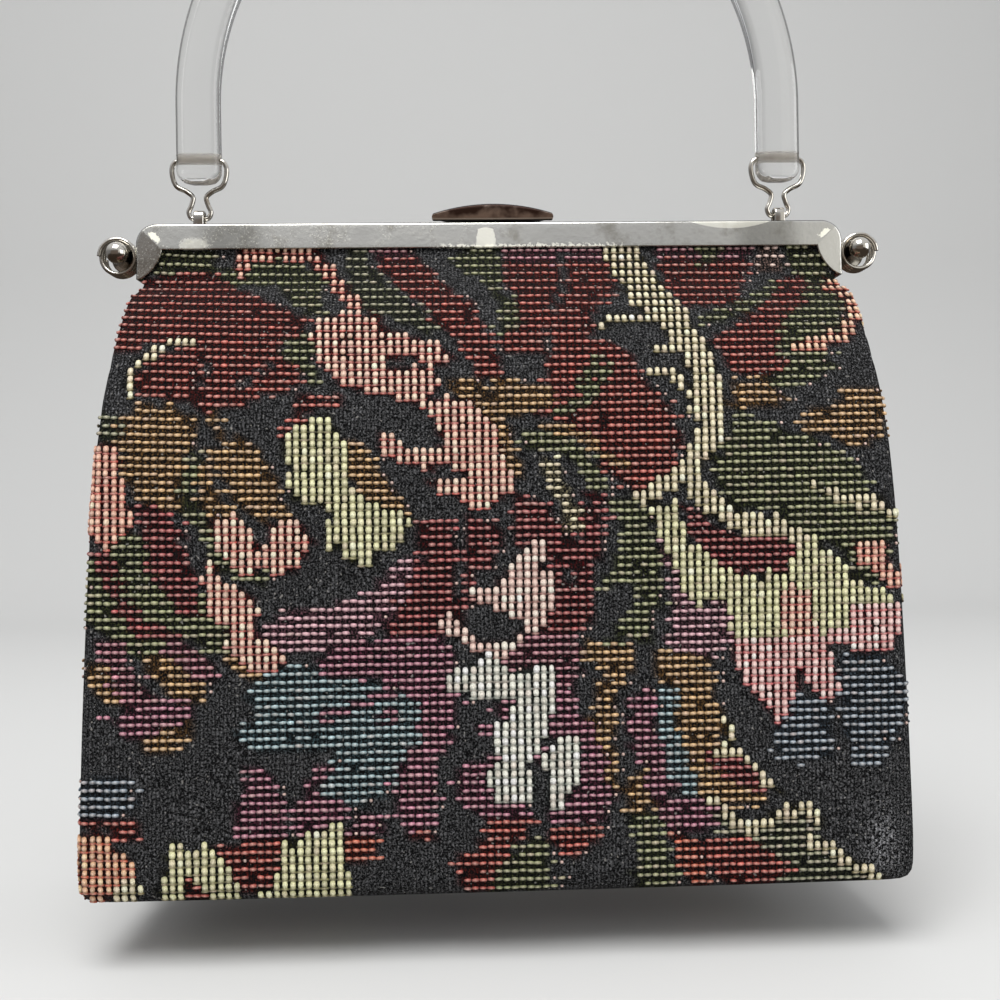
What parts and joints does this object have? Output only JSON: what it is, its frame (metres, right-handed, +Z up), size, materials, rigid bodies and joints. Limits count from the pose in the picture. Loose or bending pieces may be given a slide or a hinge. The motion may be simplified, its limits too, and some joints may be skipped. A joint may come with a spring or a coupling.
{
  "type": "tapestry frame handbag",
  "caption": "Hollow tapestry handbag in a metal clasp frame with round side hinges, a lift tab and a clear arch handle on wire links.",
  "frame": {"origin": "underside of the handle's arch at its top, where the bag hangs", "axes": "+Z up along the height, +X along the frame to the right seen from the front, front faces -Y"},
  "size_m": [0.2824, 0.094, 0.3879],
  "materials": {
    "clear_acrylic": "clear, polished",
    "plated_wire": "bright plated",
    "satin_nickel": "satin, worn along the edges",
    "polished_tab": "polished, darkened",
    "tapestry": "woven floral tapestry on a black ground"
  },
  "bodies": {
    "handle": {"handle_bar": "clear_acrylic"},
    "links": {"link_left": "plated_wire", "link_right": "plated_wire"},
    "bag": {"lug_left": "plated_wire", "lug_right": "plated_wire", "frame_front": "satin_nickel", "frame_back": "satin_nickel", "hinge_pin_left": "plated_wire", "hinge_pin_right": "plated_wire", "hinge_spring_left": "plated_wire", "hinge_spring_right": "plated_wire", "clasp_hinge": "satin_nickel", "body_front": "tapestry", "body_back": "tapestry"},
    "clasp": {"clasp_lever": "polished_tab"}
  },
  "joints": [
    {"name": "link_swing", "type": "hinge", "parent": "handle", "child": "links", "pos_m": [0, 0, -0.11905], "axis": [1, 0, 0], "range_deg": [-75, 75]},
    {"name": "bag_swing", "type": "hinge", "parent": "links", "child": "bag", "pos_m": [0, 0, -0.13965], "axis": [1, 0, 0], "range_deg": [-75, 75]},
    {"name": "clasp_lift", "type": "hinge", "parent": "bag", "child": "clasp", "pos_m": [0, 0.0066, -0.14145], "axis": [-1, 0, 0], "range_deg": [0, 50]}
  ]
}
